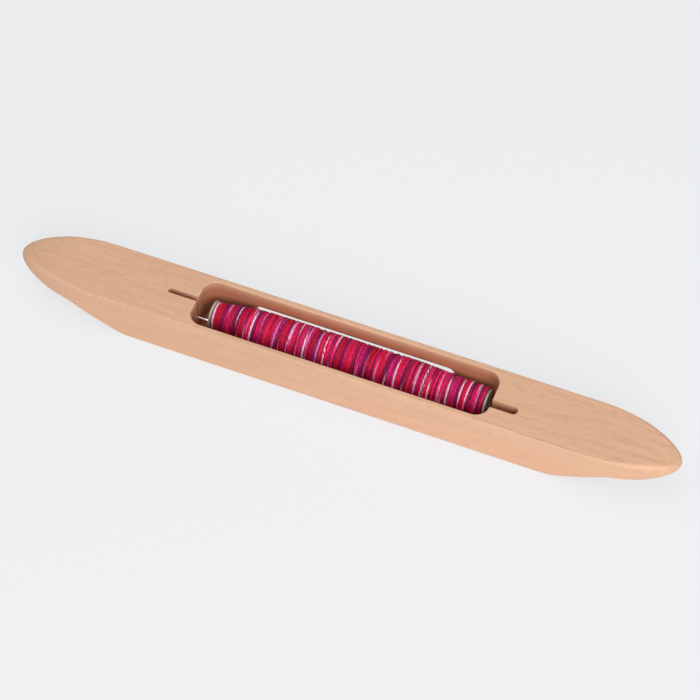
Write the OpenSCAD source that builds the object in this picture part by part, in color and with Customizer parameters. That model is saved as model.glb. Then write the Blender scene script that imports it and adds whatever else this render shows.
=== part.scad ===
// Boat shuttle for hand weaving. A slim wooden body holds a loaded bobbin in its well.
// The bobbin turns on a steel spindle, which lifts about a cross pin in the right end slot.
// X runs along the shuttle, the thread window is in the +Y wall and Z is up.
// The origin is the middle of the flat underside. All sizes are in millimetres.

/* [Body] */
// Length from tip to tip
body_l = 380; // [366:1:420]
// Width of the straight part
body_w = 35.7; // [34:0.1:40]
// Height of the straight part
body_h = 28.9; // [27:0.1:34]
// Radius of the long edges
edge_r = 1; // [0.5:0.1:2]
// Length of each nose, over which the plan narrows to the tip
nose_l = 41; // [32:1:50]
// Power of the nose outline: 0.5 is an ellipse and more is leaner
nose_power = 0.7; // [0.5:0.05:0.9]
// Length of each end that is lifted off the table
lift_l = 63.5; // [52:0.5:72]
// Slope of the underside along that length, in degrees
lift_angle = 24.2; // [18:0.2:25]
// Length from the tip over which the underside levels out
chin_l = 25; // [20:1:30]
// Length from the tip over which the top rounds down
brow_l = 23; // [15:1:30]
// Height of the tip above the table
tip_z = 22; // [20:0.5:24]

/* [Well] */
// Thickness of the long walls
wall = 3; // [2:0.1:3.8]
// Thickness of the wood under the well
base_t = 3.2; // [2:0.1:5]
// Radius of the well's corners, seen from above
well_r = 7.75; // [4:0.25:9]

/* [Thread window] */
// Length of the window in the far wall
window_l = 116; // [80:1:150]
// Height of the window
window_h = 9; // [6:0.5:11]
// Height of its middle above the table
window_z = 14.8; // [12:0.1:17]

/* [Spindle] */
// Diameter of the spindle wire
wire_d = 2.8; // [2:0.1:3]
// Length of the left end slot beyond the well
left_slot_l = 17.2; // [10:0.2:22]
// Length of the right end slot beyond the well
right_slot_l = 14.3; // [13:0.1:22]
// Sideways step of the crank, from the spindle to its eye
crank = 5.15; // [4.4:0.05:6]
// Radius of the crank's bends, at the middle of the wire
bend_r = 1.6; // [1.5:0.1:2]
// Outer diameter of the eye
eye_d = 6.4; // [5:0.1:7]
// Width of the eye along the pin
eye_w = 4.5; // [3.6:0.1:5.5]
// Diameter of the hinge pin
pin_d = 2.5; // [1.6:0.1:3]
// Distance from the well's end wall to the hinge pin
pin_reach = 7.3; // [6:0.1:8]
// Depth of the pin's blind seat in the near side
pin_seat = 5; // [3:0.5:8]
// Depth of the pin's end below the far side
pin_sink = 0.6; // [0.2:0.1:2]

/* [Bobbin] */
// Length over the rims
bobbin_l = 159.4; // [120:0.5:170]
// Outer diameter of the rims
rim_d = 15.7; // [14.6:0.1:17]
// Thickness of a rim
rim_t = 1.2; // [1:0.1:3]
// Thickness of the web at a rim's outer face, which covers the tube's end
rim_web = 0.6; // [0.3:0.1:0.8]
// Outer diameter of the tube
tube_d = 12.6; // [12.4:0.1:14]
// Bore of the tube
bore_d = 11.6; // [9:0.1:11.8]

/* [Yarn] */
// Radius of the full package at its fattest
crown_r = 10.5; // [9.5:0.1:11]
// Radius of the package at the left rim
left_r = 7.9; // [7.6:0.1:9.4]
// Radius of the package at the right rim
right_r = 8.5; // [8:0.1:9.4]
// Length over which the package grows from the left rim to its fattest
crown_reach = 36; // [30:1:70]
// Length over which it tapers to the right rim
taper_l = 40; // [20:1:70]
// Diameter of the yarn
yarn_d = 1.3; // [0.8:0.1:1.5]
// Loops of the outer layer
loops = 24; // [12:1:24]

/* [Clearances] */
// Play of the bobbin along the spindle
bobbin_play = 7; // [2:0.5:10]
// Gap at each side of the crank, to the bobbin and to the end wall
crank_gap = 0.65; // [0.4:0.05:1.5]
// Gap between the package and the floor of the well
floor_gap = 0.3; // [0.3:0.05:1]
// Gap between the package and the far wall
wall_gap = 0.45; // [0.3:0.05:1]
// Gap between the wire and the bore at the line where they are closest
bore_gap = 0.06; // [0.03:0.01:0.1]
// Gap at each side of the wire in the left slot
slot_gap = 0.1; // [0.05:0.01:0.2]
// Gap at each side of the eye and under it
eye_gap = 0.2; // [0.1:0.05:0.5]
// Radial gap between the pin and the eye
pin_gap = 0.04; // [0.02:0.01:0.08]
// Radial gap of the pressed and wound seats
seat_gap = 0.01; // [0.01:0.01:0.02]
// Gap between the core and the outer layer of yarn
yarn_gap = 0.1; // [0.1:0.05:0.3]

/* [Hidden] */
$fn = 96;
wood = [0.85, 0.67, 0.55];
steel = [0.78, 0.77, 0.76];
plastic = [0.78, 0.73, 0.70];
yarn_dark = [0.62, 0.06, 0.22];
yarn_light = [0.84, 0.16, 0.40];

// The well holds the bobbin, its play and the crank
well_w = body_w - 2 * wall;
crank_space = wire_d + 2 * crank_gap;
well_l = bobbin_l + bobbin_play + crank_space;
well_end = well_l / 2;
rim_right_x = well_end - crank_space;
rim_left_x = rim_right_x - bobbin_l;

// The overfull package lies in the far lower corner of the well
bobbin_y = well_w / 2 - wall_gap - crown_r;
bobbin_z = base_t + floor_gap + crown_r;

// The wire bears on the near lower side of the wide bore. Its place is kept to a
// hundredth of a millimetre, so that its straights and bends meet exactly.
function snap(v) = round(v * 100) / 100;
bear_angle = 218.5;
wire_r = wire_d / 2;
wire_off = bore_d / 2 - wire_r - bore_gap;
wire_y = snap(bobbin_y + wire_off * cos(bear_angle));
wire_z = snap(bobbin_z + wire_off * sin(bear_angle));
crank_x = well_end - crank_gap - wire_r;
eye_x = well_end + pin_reach;
eye_y = wire_y - crank;
wire_end = -well_end - left_slot_l + wire_d;

// Rings of the body's skin: how many along a nose and how many steps round a corner
nose_steps = 12;
corner_steps = 6;
ring_n = 4 * (corner_steps + 1);

// Along the loft, d is the distance from the nearer tip
function tip_d(x) = body_l / 2 - abs(x);

// Falls from 1 to 0 as an arc over the last length l before the tip
function arc(d, l, power) = d >= l ? 1 : pow(1 - pow((l - d) / l, 2), power);
function half_w(d) = body_w / 2 * arc(d, nose_l, nose_power);
function top_z(d) = tip_z + (body_h - tip_z) * arc(d, brow_l, 0.5);
function ramp_z(d) = max(0, (lift_l - d) * tan(lift_angle));
function bottom_z(d) =
    d >= chin_l ? ramp_z(d) : tip_z - (tip_z - ramp_z(chin_l)) * arc(d, chin_l, 0.5);

// The edges stay crisp along the body and round off fully at the tip
function corner_r(d) =
    let (full = 0.96 * min(half_w(d), (top_z(d) - bottom_z(d)) / 2))
    let (s = max(0, 1 - d / nose_l))
    min(full, edge_r + s * s * max(0, full - edge_r));

function body_ring(x) =
    let (d = tip_d(x), w = half_w(d), r = corner_r(d), low = bottom_z(d) + r, high = top_z(d) - r)
    [for (c = [[1, high, 0], [-1, high, 90], [-1, low, 180], [1, low, 270]])
        for (i = [0:corner_steps])
            let (a = c[2] + 90 * i / corner_steps)
            [x, c[0] * (w - r) + r * cos(a), c[1] + r * sin(a)]];

// Triangles between the rings of a tube, ring after ring of n points each
function tube_faces(rings, n) =
    [for (k = [0:rings - 2]) for (i = [0:n - 1])
        let (a = k * n + i, b = k * n + (i + 1) % n)
        each [[a, a + n, b + n], [a, b + n, b]]];

module loft_body() {
    right = [body_l / 2 - lift_l,
        for (i = [0:nose_steps - 1]) body_l / 2 - nose_l * (1 - sin(90 * i / nose_steps))];
    last = len(right) - 1;
    stations = concat([for (i = [last:-1:0]) -right[i]], right);
    rings = len(stations);
    first = rings * ring_n;
    points = concat([for (x = stations) each body_ring(x)],
        [[-body_l / 2, 0, tip_z], [body_l / 2, 0, tip_z]]);
    left_cap = [for (i = [0:ring_n - 1]) [first, i, (i + 1) % ring_n]];
    right_cap = [for (i = [0:ring_n - 1])
        [first + 1, first - ring_n + (i + 1) % ring_n, first - ring_n + i]];
    polyhedron(points, concat(tube_faces(rings, ring_n), left_cap, right_cap));
}

module along_x(x, y, z) translate([x, y, z]) rotate([0, 90, 0]) children();

module along_y(x, y, z) translate([x, y, z]) rotate([-90, 0, 0]) children();

// A flat outline with round ends, l long and w wide
module obround(l, w) {
    square([l - w, w], center = true);
    for (s = [-1, 1]) translate([s * (l - w) / 2, 0]) circle(d = w);
}

module rounded_rect(l, w, r) {
    square([l, w - 2 * r], center = true);
    square([l - 2 * r, w], center = true);
    for (sx = [-1, 1]) for (sy = [-1, 1])
        translate([sx * (l / 2 - r), sy * (w / 2 - r)]) circle(r);
}

// A slot cut down from the top, from inside the well to the given end
module slot_cut(from_x, to_x, y, w, floor_z) {
    side = sign(to_x - from_x);
    translate([0, y, floor_z]) linear_extrude(body_h) {
        translate([to_x - side * w / 2, 0]) circle(d = w);
        translate([(from_x + to_x - side * w / 2) / 2, 0])
            square([abs(to_x - side * w / 2 - from_x), w], center = true);
    }
}

module body() {
    slot_start = well_end - well_r;
    eye_floor = wire_z - eye_d / 2 - eye_gap;
    pin_start = eye_y - eye_w / 2 - eye_gap - pin_seat;
    color(wood) difference() {
        loft_body();
        translate([0, 0, base_t]) linear_extrude(body_h) rounded_rect(well_l, well_w, well_r);
        slot_cut(-slot_start, -well_end - left_slot_l, wire_y, wire_d + 2 * slot_gap,
            wire_z - wire_r - slot_gap);
        slot_cut(slot_start, well_end + right_slot_l, eye_y, eye_w + 2 * eye_gap, eye_floor);
        along_y(0, well_w / 2 - wall, window_z) linear_extrude(3 * wall)
            obround(window_l, window_h);
        along_y(eye_x, pin_start, wire_z)
            cylinder(h = body_w, d = pin_d + 2 * seat_gap);
    }
}

// One wire: straight through the bobbin, cranked beside it and ending in an eye
module spindle() {
    color(steel) difference() {
        union() {
            along_x(wire_end, wire_y, wire_z) sphere(wire_r);
            along_x(wire_end, wire_y, wire_z) cylinder(h = crank_x - bend_r - wire_end, r = wire_r);
            translate([crank_x - bend_r, wire_y - bend_r, wire_z]) wire_bend();
            along_y(crank_x, eye_y + bend_r, wire_z)
                cylinder(h = crank - 2 * bend_r, r = wire_r);
            translate([crank_x + bend_r, eye_y + bend_r, wire_z]) rotate(180) wire_bend();
            along_x(crank_x + bend_r, eye_y, wire_z)
                cylinder(h = eye_x - crank_x - bend_r, r = wire_r);
            along_y(eye_x, eye_y - eye_w / 2, wire_z) cylinder(h = eye_w, d = eye_d);
        }
        along_y(eye_x, eye_y - eye_w, wire_z) cylinder(h = 2 * eye_w, d = pin_d + 2 * pin_gap);
    }
}

module wire_bend() rotate_extrude(angle = 90) translate([bend_r, 0]) circle(wire_r);

module hinge_pin() {
    start = eye_y - eye_w / 2 - eye_gap - pin_seat;
    color(steel) along_y(eye_x, start, wire_z)
        cylinder(h = body_w / 2 - pin_sink - start, d = pin_d);
}

module bobbin_tube() {
    color(plastic) along_x(rim_left_x + rim_web, bobbin_y, bobbin_z) difference() {
        cylinder(h = bobbin_l - 2 * rim_web, d = tube_d);
        translate([0, 0, -1]) cylinder(h = bobbin_l, d = bore_d);
    }
}

// A rim pressed on the tube's end, with its web outward; side is -1 at the left
module rim(side) {
    face_x = side < 0 ? rim_left_x : rim_right_x;
    color(plastic) translate([face_x, bobbin_y, bobbin_z]) rotate([0, -90 * side, 0])
        difference() {
            cylinder(h = rim_t, d = rim_d);
            translate([0, 0, -1]) cylinder(h = rim_t + 2, d = bore_d);
            translate([0, 0, rim_web]) cylinder(h = rim_t, d = tube_d + 2 * seat_gap);
        }
}

module rim_left() rim(-1);

module rim_right() rim(1);

// Radius of the package at a distance u from the left rim's inner face
function package_r(u) =
    let (left = max(0, 1 - u / crown_reach), right = max(0, 1 - (package_l - u) / taper_l))
    crown_r - (crown_r - left_r) * left * left - (crown_r - right_r) * right;
function core_r(u) = max(package_r(u) - yarn_d - yarn_gap, tube_d / 2 + least_core);
package_l = bobbin_l - 2 * rim_t;
least_core = 0.15;
core_steps = 10;

module yarn_core() {
    outline = [for (i = [0:core_steps])
        let (u = package_l * i / core_steps)
        [core_r(u), u]];
    inner_r = tube_d / 2 + seat_gap;
    color(yarn_dark) along_x(rim_left_x + rim_t, bobbin_y, bobbin_z)
        rotate_extrude()
            polygon(concat([[inner_r, 0]], outline, [[inner_r, package_l]]));
}

// Each end of the yarn leaves a rim squarely, runs straight for its own diameter,
// bends over turn_r and then joins the helix, which has the given rings a loop
turn_r = 1.2;
turn_steps = 3;
loop_rings = 24;
yarn_sides = 6;
wound_l = package_l - 2 * (yarn_d + turn_r);
helix_rings = loops * loop_rings;

// The route as pairs of a distance along the bobbin and an angle round it
function lead_in(q) =
    let (u = yarn_d + turn_r * sin(q))
    [u, turn_r * (1 - cos(q)) / wound_r(u) * 180 / PI];
function wound_r(u) = core_r(u) + yarn_gap + yarn_d / 2;
helix_start = lead_in(90)[1];
helix_end = helix_start + 360 * loops;
lead_out = [for (i = [turn_steps - 1:-1:0])
    let (p = lead_in(90 * i / turn_steps))
    [package_l - p[0], helix_end + helix_start - p[1]]];
route = concat(
    [[0, 0]],
    [for (i = [0:turn_steps - 1]) lead_in(90 * i / turn_steps)],
    [for (k = [0:helix_rings])
        [yarn_d + turn_r + wound_l * k / helix_rings, helix_start + 360 * k / loop_rings]],
    lead_out,
    [[package_l, helix_end + helix_start]]);
yarn_path = [for (p = route)
    [p[0], wound_r(p[0]) * cos(p[1]), wound_r(p[0]) * sin(p[1])]];

// Least clear space between one place on the yarn and the next loop over
function least_gap() =
    min([for (i = [0:len(yarn_path) - 1])
        for (j = [i + loop_rings / 2:1:min(i + 2 * loop_rings, len(yarn_path) - 1)])
            norm(yarn_path[j] - yarn_path[i])]) - yarn_d;

function unit(v) = v / norm(v);

function yarn_ring(k) =
    let (last = len(yarn_path) - 1)
    let (ahead = unit(yarn_path[min(k + 1, last)] - yarn_path[max(k - 1, 0)]))
    let (out = [0, cos(route[k][1]), sin(route[k][1])])
    let (side = unit(cross(ahead, out)), rise = cross(side, ahead))
    [for (i = [0:yarn_sides - 1])
        let (a = 360 * i / yarn_sides)
        yarn_path[k] + yarn_d / 2 * (cos(a) * rise + sin(a) * side)];

module yarn_winding() {
    echo(least_gap_of_the_yarn_to_itself_mm = least_gap());
    rings = len(yarn_path);
    points = [for (k = [0:rings - 1]) each yarn_ring(k)];
    first_cap = [for (i = [1:yarn_sides - 2]) [0, i, i + 1]];
    base = (rings - 1) * yarn_sides;
    last_cap = [for (i = [1:yarn_sides - 2]) [base, base + i + 1, base + i]];
    color(yarn_light) translate([rim_left_x + rim_t, bobbin_y, bobbin_z])
        polyhedron(points, concat(tube_faces(rings, yarn_sides), first_cap, last_cap));
}

body();
spindle();
hinge_pin();
bobbin_tube();
rim_left();
rim_right();
yarn_core();
yarn_winding();
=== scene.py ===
import math

import bpy
import numpy as np
from mathutils import Matrix, Vector


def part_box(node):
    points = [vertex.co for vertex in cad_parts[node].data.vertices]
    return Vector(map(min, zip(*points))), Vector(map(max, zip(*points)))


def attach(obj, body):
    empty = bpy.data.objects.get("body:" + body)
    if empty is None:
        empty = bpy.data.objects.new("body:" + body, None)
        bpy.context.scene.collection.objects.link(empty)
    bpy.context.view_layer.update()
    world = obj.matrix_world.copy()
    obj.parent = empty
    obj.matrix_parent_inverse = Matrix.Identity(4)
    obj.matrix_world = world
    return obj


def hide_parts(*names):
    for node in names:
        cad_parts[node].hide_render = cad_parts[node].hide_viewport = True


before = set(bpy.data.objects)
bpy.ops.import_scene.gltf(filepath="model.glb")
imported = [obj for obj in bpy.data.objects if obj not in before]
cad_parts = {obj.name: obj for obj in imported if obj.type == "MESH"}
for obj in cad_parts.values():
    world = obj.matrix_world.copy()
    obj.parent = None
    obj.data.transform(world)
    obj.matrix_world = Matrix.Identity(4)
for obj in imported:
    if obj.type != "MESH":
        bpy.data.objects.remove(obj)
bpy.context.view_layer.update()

MM = 0.001
RNG = np.random.default_rng(7)

# Sizes of the wooden body in metres: a little wider than the CAD model's, with blunter tips
LENGTH, WIDTH, HEIGHT = 379 * MM, 36.3 * MM, 28.9 * MM
EDGE_R = 0.8 * MM
NOSE_L = 50 * MM  # length over which a nose narrows to its tip
NOSE_POWER = 0.52  # 0.5 makes the nose half an ellipse, and more makes it slimmer
LIFT_L = 65.5 * MM  # length over which the underside rises at each end
LIFT_SLOPE = math.tan(math.radians(25))
CHIN_L = 35 * MM  # length over which the underside curves up to the tip
BROW_L = 30 * MM  # length over which the top curves down to the tip
TIP_Z = 22.5 * MM
WALL = 3.3 * MM
FLOOR_Z = 3.2 * MM
WELL_END = 85.25 * MM
WELL_HALF_W = WIDTH / 2 - WALL
WELL_R = 7.75 * MM
WINDOW_L = 116 * MM
WINDOW_H = 8.2 * MM
WINDOW_Z = 14.4 * MM

# Places of the spindle, its hinge pin and the bobbin
WIRE_Y, WIRE_Z = 0.5 * MM, 11.3 * MM
WIRE_R = 1.4 * MM
LEFT_SLOT_L = 17.2 * MM
RIGHT_SLOT_L = 14.9 * MM
EYE_X, EYE_Y = 92.55 * MM, -4.65 * MM
EYE_HALF_W = 2.25 * MM
EYE_R = 3.2 * MM
PIN_R = 1.25 * MM
BOBBIN_Y, BOBBIN_Z = 3.9 * MM, 14.0 * MM
RIM_T = 1.2 * MM
TUBE_R = 6.3 * MM

# The yarn package, which lies between the inner faces of the bobbin's rims
RIM_LEFT_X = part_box("rim_left")[0].x
RIM_RIGHT_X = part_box("rim_right")[1].x
PACKAGE_X = RIM_LEFT_X + RIM_T
PACKAGE_L = RIM_RIGHT_X - RIM_LEFT_X - 2 * RIM_T
CROWN_R, LEFT_R, RIGHT_R = 10.5 * MM, 7.3 * MM, 8.5 * MM
CROWN_REACH = 36 * MM
TAPER_L = 40 * MM
LAYERS_DEPTH = 1.1 * MM  # depth of the two passes that are wound turn by turn
CORE_DEPTH = 1.8 * MM  # depth of the inner layers' surface under the full package
OVERFILL = 0.3 * MM  # how far a turn may stand above the full package

# The yarn's strand
YARN_R = 0.62 * MM
YARN_SIDES = 8
TWIST_L = 7 * MM  # length along the yarn in which its two plies go once round
PLY_SWELL = 0.1  # share by which the two plies make the strand oval
SINK = 0.3 * MM  # how far a turn sinks into those under it
PRESS = 0.2 * MM  # how much further tight yarn presses into a bump

# The winding: a close lower pass to the right rim, and a loose top pass back
LOWER_TURNS, TOP_TURNS = 128, 84
TOP_END = 9 * MM  # where the top pass ends, from the left rim
PITCH_TURNS = 2.2  # turns from one change of the pitch to the next
SAMPLES = 72  # places round one turn at which the winding is worked out
EVEN_OUT = 4  # samples to either side over which tight yarn evens out bumps
SETTLE = 10  # samples over which a turn leaves the height of the last one's end
CELL = 0.1 * MM  # step along the package at which its height is known
OFFSETS = np.arange(-int(YARN_R / CELL), int(YARN_R / CELL) + 1)  # cells beside a strand's middle
LENS = np.sqrt(np.clip(YARN_R ** 2 - (OFFSETS * CELL) ** 2, 0, None))  # the strand's rise there


def linear(r, g, b):
    """An sRGB colour in 0 to 255 as linear values."""
    values = [c / 255 for c in (r, g, b)]
    return tuple(c / 12.92 if c <= 0.04045 else ((c + 0.055) / 1.055) ** 2.4 for c in values)


FLOOR_TONE = linear(238, 239, 241)
FLOOR_EVEN = 0.78  # share of the floor's look that is its even tone

# The dyes, and one repeat of them along the yarn: a length in millimetres and a colour
DYES = {
    "pale": linear(250, 206, 226),
    "lilac": linear(222, 150, 204),
    "pink": linear(242, 112, 172),
    "rose": linear(232, 40, 112),
    "crimson": linear(222, 8, 66),
    "ruby": linear(188, 4, 56),
    "magenta": linear(196, 20, 112),
    "plum": linear(136, 8, 80),
}
DYE_REPEAT = (
    (34, "pale"), (26, "pink"), (112, "crimson"), (64, "ruby"), (60, "plum"), (70, "magenta"),
    (34, "lilac"), (92, "crimson"), (50, "rose"), (80, "ruby"), (60, "plum"), (28, "pale"),
    (30, "rose"), (74, "crimson"), (64, "magenta"), (50, "plum"),
)
DYE_JOIN = 7  # samples to either side over which two dyes blend


class Graph:
    """A small helper for building a material's nodes."""

    def __init__(self, name):
        self.material = bpy.data.materials.new(name)
        self.material.use_nodes = True
        self.tree = self.material.node_tree
        self.shader = self.tree.nodes["Principled BSDF"]

    def node(self, kind, **settings):
        made = self.tree.nodes.new("ShaderNode" + kind)
        for key, value in settings.items():
            setattr(made, key, value)
        return made

    def put(self, socket, value):
        """Links a node's output to a socket, or sets the socket to a plain value."""
        if isinstance(value, bpy.types.NodeSocket):
            self.tree.links.new(value, socket)
        elif isinstance(value, (tuple, list)) and len(value) == 3 and socket.type == "RGBA":
            socket.default_value = (*value, 1)
        else:
            socket.default_value = value

    def math(self, operation, a, b=0.0):
        made = self.node("Math", operation=operation)
        for socket, value in zip(made.inputs, (a, b)):
            self.put(socket, value)
        return made.outputs[0]

    def split(self, vector):
        """The three parts of a vector."""
        made = self.node("SeparateXYZ")
        self.put(made.inputs[0], vector)
        return made.outputs

    def place(self, scale=(1, 1, 1), shift=(0, 0, 0)):
        """Object coordinates in metres, scaled along each axis."""
        coords = self.node("TexCoord").outputs["Object"]
        made = self.node("Mapping")
        self.put(made.inputs["Vector"], coords)
        made.inputs["Scale"].default_value = scale
        made.inputs["Location"].default_value = shift
        return made.outputs[0]

    def noise(self, vector, detail=2.0, rough=0.5, warp=0.0):
        made = self.node("TexNoise")
        self.put(made.inputs["Vector"], vector)
        made.inputs["Scale"].default_value = 1
        made.inputs["Detail"].default_value = detail
        made.inputs["Roughness"].default_value = rough
        made.inputs["Distortion"].default_value = warp
        return made.outputs["Fac"]

    def ramp(self, value, *stops):
        """A colour ramp: each stop is a place and a grey level or a colour."""
        made = self.node("ValToRGB")
        self.put(made.inputs[0], value)
        elements = made.color_ramp.elements
        while len(elements) < len(stops):
            elements.new(0.5)
        for element, (place, colour) in zip(elements, stops):
            element.position = place
            shade = colour if isinstance(colour, tuple) else (colour,) * 3
            element.color = (*shade, 1)
        return made.outputs[0]

    def mix(self, factor, a, b, blend="MIX"):
        """A mix of two colours, which are the node's inputs 6 and 7 and its output 2."""
        made = self.node("Mix", data_type="RGBA", blend_type=blend)
        self.put(made.inputs[0], factor)
        self.put(made.inputs[6], a)
        self.put(made.inputs[7], b)
        return made.outputs[2]

    def bump(self, height, distance, strength):
        made = self.node("Bump")
        made.inputs["Strength"].default_value = strength
        made.inputs["Distance"].default_value = distance
        self.put(made.inputs["Height"], height)
        return made.outputs[0]

    def finish(self, **inputs):
        """Fills the shader's inputs, with _ for each space in their names."""
        for name, value in inputs.items():
            self.put(self.shader.inputs[name.replace("_", " ")], value)
        return self.material


def new_object(name, points, faces, body, smooth=True):
    """A mesh object that rides on a body of the frame, or on none."""
    mesh = bpy.data.meshes.new(name)
    mesh.from_pydata([tuple(p) for p in points], [], faces)
    mesh.update()
    if smooth:
        mesh.polygons.foreach_set("use_smooth", [True] * len(mesh.polygons))
    made = bpy.data.objects.new(name, mesh)
    bpy.context.scene.collection.objects.link(made)
    if body:
        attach(made, body)
    return made


def tube_faces(rings, n):
    """Quads between rings of n points, as in a lofted tube."""
    quads = []
    for k in range(rings - 1):
        for i in range(n):
            a = k * n + i
            b = k * n + (i + 1) % n
            quads.append((a, b, b + n, a + n))
    return quads


def end_caps(rings, n):
    """The two faces that close such a tube."""
    last = (rings - 1) * n
    return [tuple(range(n - 1, -1, -1)), tuple(range(last, last + n))]


def quarter_arc(cx, cy, r, start, steps):
    """Points of a quarter circle about (cx, cy), from the angle start in degrees."""
    turns = [math.radians(start + 90 * i / steps) for i in range(steps + 1)]
    return [(cx + r * math.cos(a), cy + r * math.sin(a)) for a in turns]


def place_camera():
    """The photograph's view: seen from above and a little from the right."""
    azimuth, elevation = math.radians(21.78), math.radians(54.62)
    distance = 1497.44 * MM
    target = Vector((-0.04 * MM, 9.12 * MM, 14.32 * MM))
    image_px, focal_px, sensor_mm = 700, 2776.8, 36
    back = Vector((
        math.sin(azimuth) * math.cos(elevation),
        -math.cos(azimuth) * math.cos(elevation),
        math.sin(elevation),
    ))
    right = Vector((math.cos(azimuth), math.sin(azimuth), 0))
    up = back.cross(right)
    data = bpy.data.cameras.new("camera")
    data.sensor_width = sensor_mm
    data.lens = focal_px / image_px * sensor_mm
    data.clip_start = 0.01
    camera = bpy.data.objects.new("camera", data)
    camera.matrix_world = (
        Matrix.Translation(target + back * distance)
        @ Matrix((right, up, back)).transposed().to_4x4()
    )
    bpy.context.scene.collection.objects.link(camera)
    bpy.context.scene.camera = camera


def growth_rings(g, y, z):
    """Shade of the rings round a pith that lies well below and beside the plank."""
    pith_aside, pith_below = 46 * MM, 85 * MM
    rings_per_metre = 410
    wander = g.math("MULTIPLY", g.noise(g.place((9, 40, 40))), 12 * MM)
    across = g.math("POWER", g.math("ADD", y, pith_aside), 2.0)
    depth = g.math("POWER", g.math("ADD", z, pith_below), 2.0)
    radius = g.math("ADD", g.math("SQRT", g.math("ADD", across, depth)), wander)
    rings = g.math("FRACT", g.math("MULTIPLY", radius, rings_per_metre))
    return g.ramp(rings, (0.0, 0.35), (0.12, 0.62), (0.75, 0.55), (1.0, 0.3))


def well_shade_mask(g, x, y, z):
    """Where the well's painted shade goes: 1 in the well and its end slots, fading to 0 at their upper
    rim.
    """
    under_rim = g.ramp(g.math("MULTIPLY", z, 1 / HEIGHT), (0.8, 1.0), (0.985, 0.0))
    between = g.math("LESS_THAN", g.math("ABSOLUTE", y), WELL_HALF_W + 0.1 * MM)
    along = g.math("LESS_THAN", g.math("ABSOLUTE", x), WELL_END + LEFT_SLOT_L + 1 * MM)
    above = g.math("GREATER_THAN", z, FLOOR_Z - 1 * MM)
    across = g.math("MULTIPLY", under_rim, between)
    return g.math("MULTIPLY", across, g.math("MULTIPLY", along, above))


def beech_material():
    """Pale beech along X: growth rings, soft streaks, short dark flecks and fine pores, with painted
    shade in the well.
    """
    g = Graph("beech")
    x, y, z = g.split(g.place())
    streaks = g.noise(g.place((16, 420, 420)), detail=3.0, rough=0.6)
    fine = g.noise(g.place((60, 1900, 1900)), detail=3.0, rough=0.65)
    broad = g.noise(g.place((7, 45, 45)))
    specks = g.noise(g.place((240, 2300, 2300), shift=(3, 1, 2)), detail=1.0, rough=0.4)
    flecks = g.ramp(specks, (0.0, 0.0), (0.61, 0.0), (0.72, 1.0))

    pale, middle, tan = linear(221, 179, 147), linear(213, 169, 137), linear(203, 155, 122)
    warm, deep = linear(214, 164, 132), linear(166, 112, 82)
    ring_part = g.math("MULTIPLY", growth_rings(g, y, z), 0.45)
    tone = g.math("ADD", ring_part, g.math("MULTIPLY", streaks, 0.55))
    colour = g.ramp(tone, (0.3, tan), (0.5, middle), (0.7, pale))
    colour = g.mix(g.ramp(fine, (0.3, 0.0), (0.75, 0.4)), colour, tan)
    colour = g.mix(g.ramp(broad, (0.3, 0.0), (0.7, 0.3)), colour, warm)
    colour = g.mix(g.math("MULTIPLY", flecks, 0.34), colour, deep)

    # Painted shade and painted red bounce light: inside the well and its slots the wood is multiplied
    # to a darker, redder brown, fading out at the rim
    painted_well_shade = g.mix(1.0, colour, linear(228, 196, 184), "MULTIPLY")
    colour = g.mix(well_shade_mask(g, x, y, z), colour, painted_well_shade)

    height = g.math("SUBTRACT", fine, g.math("MULTIPLY", flecks, 0.5))
    return g.finish(
        Base_Color=colour,
        Roughness=g.ramp(fine, (0.2, 0.44), (0.8, 0.6)),
        Normal=g.bump(height, 0.05 * MM, strength=0.35),
        Specular_IOR_Level=0.4,
    )


def steel_material():
    """Bright drawn wire: fine lines along it and a little tarnish."""
    g = Graph("drawn_steel")
    lines = g.noise(g.place((90, 9000, 9000)))
    stain = g.noise(g.place((160, 500, 500)), detail=3.0)
    bright, tarnished = linear(222, 216, 210), linear(176, 166, 156)
    rough = g.math("ADD", g.math("MULTIPLY", lines, 0.08), g.math("MULTIPLY", stain, 0.08))
    return g.finish(
        Base_Color=g.mix(g.ramp(stain, (0.4, 0.0), (0.8, 0.35)), bright, tarnished),
        Metallic=1.0,
        Roughness=rough,
        Normal=g.bump(lines, 0.01 * MM, strength=0.4),
    )


def plastic_material():
    """Pale warm grey moulded plastic, with a faint moulding texture."""
    g = Graph("bobbin_plastic")
    cloud = g.noise(g.place((150, 150, 150)))
    grain = g.noise(g.place((4200, 4200, 4200)))
    light, dark = linear(174, 163, 149), linear(163, 150, 136)
    return g.finish(
        Base_Color=g.mix(g.ramp(cloud, (0.3, 0.0), (0.7, 1.0)), light, dark),
        Roughness=g.ramp(grain, (0.2, 0.36), (0.8, 0.5)),
        Normal=g.bump(grain, 0.02 * MM, strength=0.25),
        Subsurface_Weight=0.08,
        Subsurface_Radius=(0.002, 0.0015, 0.001),
    )


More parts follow.
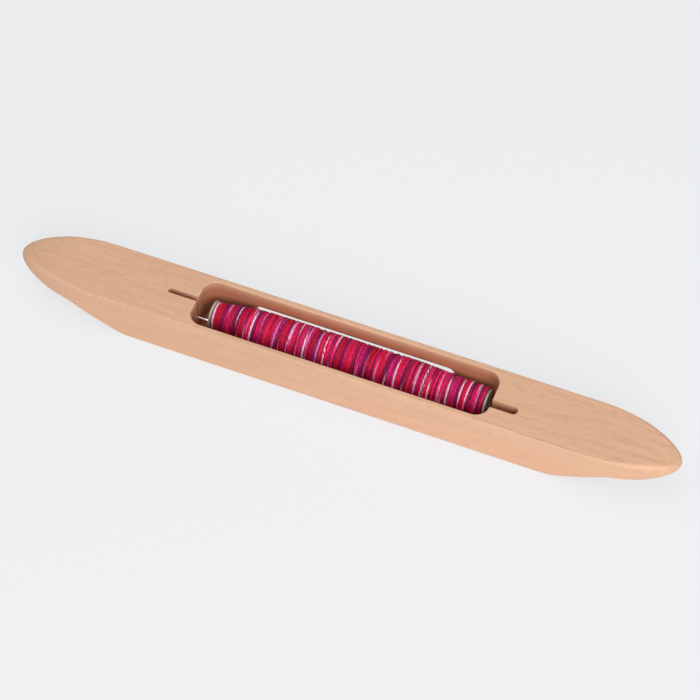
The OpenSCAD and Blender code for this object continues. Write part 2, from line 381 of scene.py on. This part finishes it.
def yarn_material():
    """Dyed two-ply cotton: the dye is stored along the yarn, the plies twist round it, and painted
    shade darkens the crease between them.
    """
    g = Graph("dyed_yarn")
    dye = g.node("Attribute", attribute_name="dye").outputs["Color"]
    along, around, _ = g.split(g.node("UVMap", uv_map="strand").outputs[0])
    turn = g.math("SUBTRACT", g.math("MULTIPLY", around, 2.0), g.math("MULTIPLY", along, 2 / TWIST_L))
    plies = g.math("ABSOLUTE", g.math("COSINE", g.math("MULTIPLY", turn, math.pi)))
    ply_crease_shade = g.ramp(plies, (0.0, 1.0), (0.45, 0.0))
    fibres = g.noise(g.place((5200, 5200, 5200)), detail=3.0, rough=0.7, warp=0.6)
    mottle = g.noise(g.place((700, 700, 700), shift=(5, 5, 5)))

    # A darker dye, used both for the painted shade in the crease between the plies and for random
    # mottle
    deep = g.mix(1.0, dye, (0.42, 0.30, 0.42), "MULTIPLY")
    light = g.mix(1.0, dye, linear(120, 70, 90), "SCREEN")
    # Painted shade: the dye darkens in the crease between the two plies
    colour = g.mix(g.math("MULTIPLY", ply_crease_shade, 0.7), dye, deep)
    colour = g.mix(g.ramp(mottle, (0.42, 0.0), (0.75, 0.5)), colour, deep)
    colour = g.mix(g.ramp(fibres, (0.55, 0.0), (0.8, 0.25)), colour, light)
    height = g.math("ADD", plies, g.math("MULTIPLY", fibres, 0.5))
    return g.finish(
        Base_Color=colour,
        Roughness=0.6,
        Normal=g.bump(height, 0.16 * MM, strength=0.7),
        Specular_IOR_Level=0.22,
        Sheen_Weight=0.05,
        Sheen_Roughness=0.4,
    )


def soft_max(a, b, width):
    """The larger of two values, rounded over a width where they cross."""
    return 0.5 * (a + b + np.sqrt((a - b) ** 2 + width ** 2))


def nose_arc(d, length, power):
    """Falls from 1 to 0 as an arc over the last stretch before the tip."""
    return (1 - np.clip((length - d) / length, 0, 1) ** 2) ** power


def body_section(d):
    """Half width, bottom, top and corner radius at a distance d from the nearer tip."""
    soften = 1.2 * MM
    most = 0.96  # share of the half width or half height that a corner may take
    half = WIDTH / 2 * nose_arc(d, NOSE_L, NOSE_POWER)
    top = TIP_Z + (HEIGHT - TIP_Z) * nose_arc(d, BROW_L, 0.5)
    ramp = soft_max((LIFT_L - d) * LIFT_SLOPE, 0.0, soften)
    chin_z = (LIFT_L - CHIN_L) * LIFT_SLOPE
    cap = TIP_Z - (TIP_Z - chin_z) * nose_arc(d, CHIN_L, 0.5)
    bottom = -soft_max(-ramp, -cap, soften)
    full = most * min(half, (top - bottom) / 2)
    share = max(0.0, 1 - d / NOSE_L) ** 2
    return half, bottom, top, min(full, EDGE_R + share * max(0.0, full - EDGE_R))


def body_stations():
    """Places along X of the body's sections, close together where its shape changes."""
    nose_steps, ramp_steps = 56, 24
    straight_half = 95 * MM
    near_tip = [NOSE_L * (1 - math.sin(math.radians(90 * i / nose_steps))) for i in range(nose_steps)]
    along_ramp = list(np.linspace(LIFT_L + 7 * MM, NOSE_L + 1.5 * MM, ramp_steps))
    distances = [LENGTH / 2 - straight_half] + along_ramp + near_tip
    right = [LENGTH / 2 - d for d in distances]
    return [-x for x in reversed(right)] + right


def loft_outer():
    """The body's outer skin as rings of points across X, closed by a point at each tip."""
    corner_steps = 10
    stations = body_stations()
    points = []
    for x in stations:
        half, bottom, top, r = body_section(LENGTH / 2 - abs(x))
        corners = ((1, top - r, 0), (-1, top - r, 90), (-1, bottom + r, 180), (1, bottom + r, 270))
        for side, middle, start in corners:
            arc = quarter_arc(side * (half - r), middle, r, start, corner_steps)
            points += [(x, y, z) for y, z in arc]
    n = 4 * (corner_steps + 1)
    faces = tube_faces(len(stations), n)
    left_tip, right_tip = len(points), len(points) + 1
    points += [(-LENGTH / 2, 0, TIP_Z), (LENGTH / 2, 0, TIP_Z)]
    last = (len(stations) - 1) * n
    for i in range(n):
        j = (i + 1) % n
        faces.append((left_tip, j, i))
        faces.append((right_tip, last + i, last + j))
    return new_object("shuttle_body", points, faces, "shuttle")


def rounded_outline(half_l, half_w, r):
    """A flat outline with round corners, counter-clockwise."""
    corner_steps = 14
    outline = []
    for sx, sy, start in ((1, 1, 0), (-1, 1, 90), (-1, -1, 180), (1, -1, 270)):
        outline += quarter_arc(sx * (half_l - r), sy * (half_w - r), r, start, corner_steps)
    return outline


def flare_levels(low, high, low_round, high_round):
    """Levels between two ends, each with how far the cut grows outward there.

    A positive round widens the cut at that end, as a rounded edge does, and a negative one
    narrows it, as a fillet round a floor does. The cut runs on past its rounded edges.
    """
    steps, run_on = 6, 2 * MM
    turns = [math.radians(90 * i / steps) for i in range(steps + 1)]
    levels = []
    if low_round > 0:
        levels.append((low - run_on, low_round))
        levels += [(low + low_round * (1 - math.cos(a)), low_round * (1 - math.sin(a))) for a in turns]
    elif low_round < 0:
        levels += [(low - low_round * (1 - math.cos(a)), low_round * (1 - math.sin(a))) for a in turns]
    else:
        levels.append((low, 0.0))
    levels += [(high - high_round * (1 - math.sin(a)), high_round * (1 - math.cos(a))) for a in turns]
    levels.append((high + run_on, high_round))
    return levels


def cutter(name, half_l, half_w, r, levels, put):
    """A closed solid through the levels; put places a point (u, v, level) in the frame."""
    least_r = 0.05 * MM
    points = []
    for level, grow in levels:
        outline = rounded_outline(half_l + grow, half_w + grow, max(r + grow, least_r))
        points += [put(u, v, level) for u, v in outline]
    n = len(outline)
    faces = tube_faces(len(levels), n) + end_caps(len(levels), n)
    return new_object(name, points, faces, None, smooth=False)


def upright(cx, cy):
    """Places the points of a cut from above, about (cx, cy)."""
    return lambda u, v, level: (cx + u, cy + v, level)


def along_y(cx, cz):
    """Places the points of a cut across the body, about (cx, cz)."""
    return lambda u, v, level: (cx - u, level, cz + v)


def well_cutter():
    """The well, with a fillet round its floor and a rounded rim."""
    levels = flare_levels(FLOOR_Z, HEIGHT, -1.2 * MM, 0.7 * MM)
    return cutter("well", WELL_END, WELL_HALF_W, WELL_R, levels, upright(0, 0))


def slot_cutter(name, side, length, half_w, y, bottom):
    """An end slot, from inside the well to its round end; side is -1 for left and 1 for right."""
    inside = WELL_END - 6 * MM
    far_end = WELL_END + length
    levels = flare_levels(bottom, HEIGHT, 0, 0.4 * MM)
    middle = side * (far_end + inside) / 2
    return cutter(name, (far_end - inside) / 2, half_w, half_w, levels, upright(middle, y))


def window_cutter():
    """The thread window through the far wall."""
    edge = 0.2 * MM
    levels = flare_levels(WELL_HALF_W, WIDTH / 2, edge, edge)
    return cutter("window", WINDOW_L / 2, WINDOW_H / 2, WINDOW_H / 2, levels, along_y(0, WINDOW_Z))


def pin_cutter():
    """The hinge pin's blind hole, in from the far side, across the slot and on past the eye."""
    hole_r = PIN_R + 0.01 * MM
    past_eye = 5.2 * MM
    levels = flare_levels(EYE_Y - EYE_HALF_W - past_eye, WIDTH / 2, 0, 0.15 * MM)
    return cutter("pin_hole", hole_r, hole_r, hole_r, levels, along_y(EYE_X, WIRE_Z))


def cut(target, tools):
    """Subtracts closed solids from an object and deletes them."""
    for tool in tools:
        change = target.modifiers.new("cut", "BOOLEAN")
        change.operation = "DIFFERENCE"
        change.solver = "EXACT"
        change.object = tool
    graph = bpy.context.evaluated_depsgraph_get()
    mesh = bpy.data.meshes.new_from_object(target.evaluated_get(graph))
    target.modifiers.clear()
    old = target.data
    target.data = mesh
    bpy.data.meshes.remove(old)
    for tool in tools:
        bpy.data.objects.remove(tool)


def make_body(wood):
    """The wooden body: its outer skin, less the well, the slots, the window and the pin's hole."""
    body = loft_outer()
    wire_gap, eye_gap = 0.1 * MM, 0.2 * MM
    wire_bottom, eye_bottom = WIRE_Z - WIRE_R - wire_gap, WIRE_Z - EYE_R - eye_gap
    cut(body, [
        well_cutter(),
        slot_cutter("left_slot", -1, LEFT_SLOT_L, WIRE_R + wire_gap, WIRE_Y, wire_bottom),
        slot_cutter("right_slot", 1, RIGHT_SLOT_L, EYE_HALF_W + eye_gap, EYE_Y, eye_bottom),
        window_cutter(),
        pin_cutter(),
    ])
    body.data.polygons.foreach_set("use_smooth", [True] * len(body.data.polygons))
    body.data.set_sharp_from_angle(angle=math.radians(38))
    weighted = body.modifiers.new("flat faces stay flat", "WEIGHTED_NORMAL")
    weighted.keep_sharp = True
    body.data.materials.clear()
    body.data.materials.append(wood)
    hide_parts("body")


def dress_node(node, material, bevel=0.0):
    """Gives a CAD node a material and, if asked, softly rounded edges."""
    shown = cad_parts[node]
    shown.data.materials.clear()
    shown.data.materials.append(material)
    if bevel:
        soft = shown.modifiers.new("soft edges", "BEVEL")
        soft.width = bevel
        soft.segments = 3
        soft.limit_method = "ANGLE"
        soft.angle_limit = math.radians(50)
        soft.harden_normals = True


def package_r(u):
    """Radius of the full package at a distance u from the left rim's inner face."""
    left = np.clip(1 - u / CROWN_REACH, 0, 1)
    right = np.clip(1 - (PACKAGE_L - u) / TAPER_L, 0, 1)
    return CROWN_R - (CROWN_R - LEFT_R) * left ** 2 - (CROWN_R - RIGHT_R) * right


def bell(reach):
    """Weights of a smooth moving average over reach samples to either side."""
    weights = np.hanning(2 * reach + 1)
    return weights / weights.sum()


def smooth_noise(count, step, scale):
    """A smooth random curve of count samples with one knot every step samples."""
    make_up = 1.6  # about makes up for how the spline flattens its knots
    knots = RNG.normal(0, 1, count // step + 4)
    places = np.arange(count) / step
    whole = places.astype(int)
    part = places - whole
    k0, k1, k2, k3 = (knots[whole + i] for i in range(4))
    return scale * (
        k0 * (1 - part) ** 3 + k1 * (3 * part ** 3 - 6 * part ** 2 + 4)
        + k2 * (-3 * part ** 3 + 3 * part ** 2 + 3 * part + 1) + k3 * part ** 3
    ) / 6 * make_up


def pass_route(start_u, end_u, turns, unevenness, wobble):
    """Distances along the package over one pass of the winding, closer and wider by turns."""
    count = turns * SAMPLES
    pitch = np.exp(smooth_noise(count, int(SAMPLES * PITCH_TURNS), unevenness))
    share = np.concatenate(([0.0], np.cumsum(pitch)))[:-1] / pitch.sum()
    ends = np.clip(np.minimum(np.arange(count), count - np.arange(count)) / (2 * SAMPLES), 0, 1)
    return start_u + (end_u - start_u) * share + ends * smooth_noise(count, SAMPLES // 2, wobble)


def lay_turn(ground, u, before):
    """Radius at each sample of a turn laid at the places u on the ground, which it then raises.

    before is the radius at which the last turn ended, or None for the first turn.
    """
    columns = np.arange(SAMPLES)
    rows = np.clip(np.rint(u / CELL).astype(int)[None, :] + OFFSETS[:, None], 0, len(ground) - 1)
    lift = (ground[rows, columns[None, :]] + LENS[:, None]).max(axis=0) - SINK
    wrapped = np.concatenate((lift[-EVEN_OUT:], lift, lift[:EVEN_OUT]))
    tight = np.convolve(wrapped, bell(EVEN_OUT), "valid")
    lift = np.maximum(tight, lift - PRESS)
    lift = np.minimum(lift, package_r(u) + OVERFILL - YARN_R)
    lift = np.maximum(lift, TUBE_R + YARN_R)
    if before is not None:
        # The turn starts at the height at which the last one ended
        fade = np.clip(1 - columns / SETTLE, 0, 1)
        lift += fade * (before - lift[0])
    top = lift[None, :] + LENS[:, None]
    np.maximum.at(ground, (rows, np.broadcast_to(columns, rows.shape)), top)
    return lift


def wind_yarn():
    """Lays the turns one by one on the package; each rests on what lies under it.

    Returns the distance along the package and the radius at every sample.
    """
    margin = YARN_R * 1.02
    last = PACKAGE_L - margin
    u = np.concatenate((
        pass_route(margin, last, LOWER_TURNS, unevenness=0.10, wobble=0.06 * MM),
        pass_route(last, TOP_END, TOP_TURNS, unevenness=0.5, wobble=0.34 * MM),
    ))
    u = np.clip(u, margin, last)

    # The ground is the radius wound so far, by cells along the package and samples round it
    cells = int(PACKAGE_L / CELL) + 1
    barrel = np.maximum(package_r(np.arange(cells) * CELL) - LAYERS_DEPTH, TUBE_R)
    ground = np.repeat(barrel[:, None], SAMPLES, axis=1)
    radius = np.zeros(len(u))
    before = None
    for start in range(0, len(u), SAMPLES):
        part = slice(start, start + SAMPLES)
        radius[part] = lay_turn(ground, u[part], before)
        before = radius[part][-1]
    return u, radius


def dye_along(s):
    """Colour at each length s, in metres, with soft joins and uneven repeats."""
    length_range, shade_range = (0.6, 1.4), (0.85, 1.12)
    edges, colours = [0.0], []
    while edges[-1] < s[-1]:
        for length, name in DYE_REPEAT:
            edges.append(edges[-1] + length * MM * RNG.uniform(*length_range))
            colours.append(np.array(DYES[name]) * RNG.uniform(*shade_range))
    index = np.searchsorted(edges, s, side="right") - 1
    padded = np.pad(np.array(colours)[index], ((DYE_JOIN, DYE_JOIN), (0, 0)), mode="edge")
    return np.stack([np.convolve(padded[:, c], bell(DYE_JOIN), "valid") for c in range(3)], axis=1)


def keep_dye(piece, colours):
    """Stores a dye's colour at each of a piece's points."""
    layer = piece.data.color_attributes.new("dye", "FLOAT_COLOR", "POINT")
    layer.data.foreach_set("color", np.array(colours).reshape(-1))


def yarn_rings(u, radius):
    """Rings of points round the yarn's route, and the length of yarn up to each ring."""
    count = len(u)
    angle = np.arange(count) * 2 * math.pi / SAMPLES
    centre = np.stack([
        PACKAGE_X + u,
        BOBBIN_Y + radius * np.cos(angle),
        BOBBIN_Z + radius * np.sin(angle),
    ], axis=1)
    ahead = np.gradient(centre, axis=0)
    ahead /= np.linalg.norm(ahead, axis=1)[:, None]
    out = np.stack([np.zeros(count), np.cos(angle), np.sin(angle)], axis=1)
    side = np.cross(ahead, out)
    side /= np.linalg.norm(side, axis=1)[:, None]
    rise = np.cross(side, ahead)
    s = np.concatenate(([0.0], np.cumsum(np.linalg.norm(np.diff(centre, axis=0), axis=1))))

    points = np.zeros((count, YARN_SIDES, 3))
    for i in range(YARN_SIDES):
        a = 2 * math.pi * i / YARN_SIDES
        reach = YARN_R * (1 + PLY_SWELL * np.cos(2 * (a - s * 2 * math.pi / TWIST_L)))[:, None]
        points[:, i] = centre + reach * (math.cos(a) * side + math.sin(a) * rise)
    return points, s


def strand_places(s):
    """Length along the yarn and share of the way round it, at every corner of every face."""
    ring = np.repeat(np.arange(len(s) - 1), YARN_SIDES)
    spot = np.tile(np.arange(YARN_SIDES), len(s) - 1)
    strand = np.zeros((len(ring), 4, 2))
    strand[:, :2, 0] = s[ring][:, None]
    strand[:, 2:, 0] = s[ring + 1][:, None]
    strand[:, 0, 1] = strand[:, 3, 1] = spot / YARN_SIDES
    strand[:, 1, 1] = strand[:, 2, 1] = (spot + 1) / YARN_SIDES
    both_caps = np.zeros(2 * YARN_SIDES * 2)
    return np.concatenate((strand.reshape(-1), both_caps))


def make_winding(material):
    """The two top passes of the yarn, as one unbroken tube with its dye and its twist."""
    points, s = yarn_rings(*wind_yarn())
    faces = tube_faces(len(s), YARN_SIDES) + end_caps(len(s), YARN_SIDES)
    winding = new_object("yarn_turns", points.reshape(-1, 3), faces, "bobbin")
    colours = np.ones((len(s), YARN_SIDES, 4))
    colours[:, :, :3] = np.clip(dye_along(s), 0, 1)[:, None, :]
    keep_dye(winding, colours)
    winding.data.uv_layers.new(name="strand").data.foreach_set("uv", strand_places(s))
    winding.data.materials.append(material)
    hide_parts("yarn_winding")


def on_bobbin(x, r, a):
    """The point at a radius and an angle round the bobbin's axis."""
    return (x, BOBBIN_Y + r * math.cos(a), BOBBIN_Z + r * math.sin(a))


def core_faces(steps, sides):
    """The barrel's outside, its two ends and its bore, whose two rings come last."""
    faces = tube_faces(steps + 1, sides)
    last = steps * sides
    left_bore = last + sides
    right_bore = left_bore + sides
    for i in range(sides):
        j = (i + 1) % sides
        faces.append((i, left_bore + i, left_bore + j, j))
        faces.append((last + j, right_bore + j, right_bore + i, last + i))
        faces.append((left_bore + i, right_bore + i, right_bore + j, left_bore + j))
    return faces


def make_core(material):
    """The inner layers, seen only in the grooves: a barrel with a ridge for every turn."""
    sides, steps = 64, 480
    pitch, ridge_h = 1.3 * MM, 0.16 * MM
    repeat, ruby_steps = 40, 26  # steps in one repeat of the two dyes, and how many are ruby
    least_r, bore_r = TUBE_R + 0.1 * MM, TUBE_R + 0.01 * MM
    ruby, plum = (*DYES["ruby"], 1), (*DYES["plum"], 1)
    around = [2 * math.pi * i / sides for i in range(sides)]
    points, colours = [], []
    for k in range(steps + 1):
        u = PACKAGE_L * k / steps
        groove_r = max(float(package_r(np.array(u))) - CORE_DEPTH, least_r)
        for a in around:
            ridge = ridge_h * math.cos(2 * math.pi * u / pitch - a)
            points.append(on_bobbin(PACKAGE_X + u, groove_r + max(ridge, 0.0), a))
            colours.append(ruby if k % repeat < ruby_steps else plum)
    for x in (PACKAGE_X, PACKAGE_X + PACKAGE_L):
        points += [on_bobbin(x, bore_r, a) for a in around]
        colours += [ruby] * sides
    core = new_object("yarn_under", points, core_faces(steps, sides), "bobbin")
    keep_dye(core, colours)
    core.data.materials.append(material)
    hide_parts("yarn_core")


def seen_directly(tree):
    """1 for rays from the camera, in reflections and through clear things, else 0."""
    path = tree.nodes.new("ShaderNodeLightPath")
    total = path.outputs["Is Camera Ray"]
    for kind in ("Is Glossy Ray", "Is Transmission Ray"):
        add = tree.nodes.new("ShaderNodeMath")
        add.operation = "MAXIMUM"
        tree.links.new(total, add.inputs[0])
        tree.links.new(path.outputs[kind], add.inputs[1])
        total = add.outputs[0]
    return total


def mix_shaders(tree, share, first, second, surface):
    """Mixes two shaders, by the share of the second one, into the tree's surface."""
    both = tree.nodes.new("ShaderNodeMixShader")
    tree.links.new(share, both.inputs[0])
    tree.links.new(first.outputs[0], both.inputs[1])
    tree.links.new(second.outputs[0], both.inputs[2])
    tree.links.new(both.outputs[0], surface)


def make_floor():
    """A pale seamless floor that keeps a soft shadow.

    To the camera, and in reflections, most of it is its own even paper tone, so that the
    background stays pale without more light on the object. Every other ray meets plain paper.
    """
    g = Graph("pale_floor")
    cloud = g.noise(g.place((1.5, 1.5, 1.5)))
    paper = g.mix(cloud, linear(240, 241, 242), linear(237, 238, 240))
    g.finish(Base_Color=paper, Roughness=0.9, Specular_IOR_Level=0.15)
    glow = g.node("Emission")
    g.put(glow.inputs["Color"], FLOOR_TONE)
    share = g.math("MULTIPLY", seen_directly(g.tree), FLOOR_EVEN)
    mix_shaders(g.tree, share, g.shader, glow, g.tree.nodes["Material Output"].inputs["Surface"])

    half, z = 3.0, -0.02 * MM
    corners = [(-half, -half, z), (half, -half, z), (half, half, z), (-half, half, z)]
    floor = new_object("floor", corners, [(0, 1, 2, 3)], None, smooth=False)
    floor.data.materials.append(g.material)


def area_light(name, place, aim, size, power):
    """A rectangular lamp at a place, turned towards its aim; metres and watts."""
    data = bpy.data.lights.new(name, "AREA")
    data.shape = "RECTANGLE"
    data.size, data.size_y = size
    data.energy = power
    lamp = bpy.data.objects.new(name, data)
    lamp.location = place
    lamp.rotation_euler = (Vector(place) - Vector(aim)).to_track_quat("Z", "Y").to_euler()
    bpy.context.scene.collection.objects.link(lamp)


def make_world():
    """A pale world that lights weakly, and that shows as the floor's own tone."""
    world = bpy.data.worlds.new("studio")
    world.use_nodes = True
    tree = world.node_tree
    sky = tree.nodes["Background"]
    sky.inputs["Color"].default_value = (0.97, 0.98, 1.0, 1)
    sky.inputs["Strength"].default_value = 0.36
    backdrop = tree.nodes.new("ShaderNodeBackground")
    backdrop.inputs["Color"].default_value = (*FLOOR_TONE, 1)
    backdrop.inputs["Strength"].default_value = 1.0
    surface = tree.nodes["World Output"].inputs["Surface"]
    mix_shaders(tree, seen_directly(tree), sky, backdrop, surface)
    bpy.context.scene.world = world


def make_lights():
    """Large lamps overhead and in front, and a weak low one at the hinged end."""
    area_light("overhead", place=(-0.3, -0.1, 1.5), aim=(0, 0, 0), size=(1.6, 1.2), power=9.5)
    area_light("front", place=(0.85, -1.2, 1.05), aim=(0, 0, 0.02), size=(1.4, 1.0), power=22)
    area_light("low_right", place=(0.85, -0.85, 0.15), aim=(0.1, 0, 0.02), size=(0.5, 0.25), power=1.5)


place_camera()
make_floor()
make_world()
make_lights()
bpy.context.scene.view_settings.view_transform = "Standard"

WOOD = beech_material()
STEEL = steel_material()
PLASTIC = plastic_material()
YARN = yarn_material()
make_body(WOOD)
dress_node("spindle", STEEL)
dress_node("hinge_pin", STEEL, bevel=0.2 * MM)
dress_node("bobbin_tube", PLASTIC)
dress_node("rim_left", PLASTIC, bevel=0.3 * MM)
dress_node("rim_right", PLASTIC, bevel=0.3 * MM)
make_core(YARN)
make_winding(YARN)
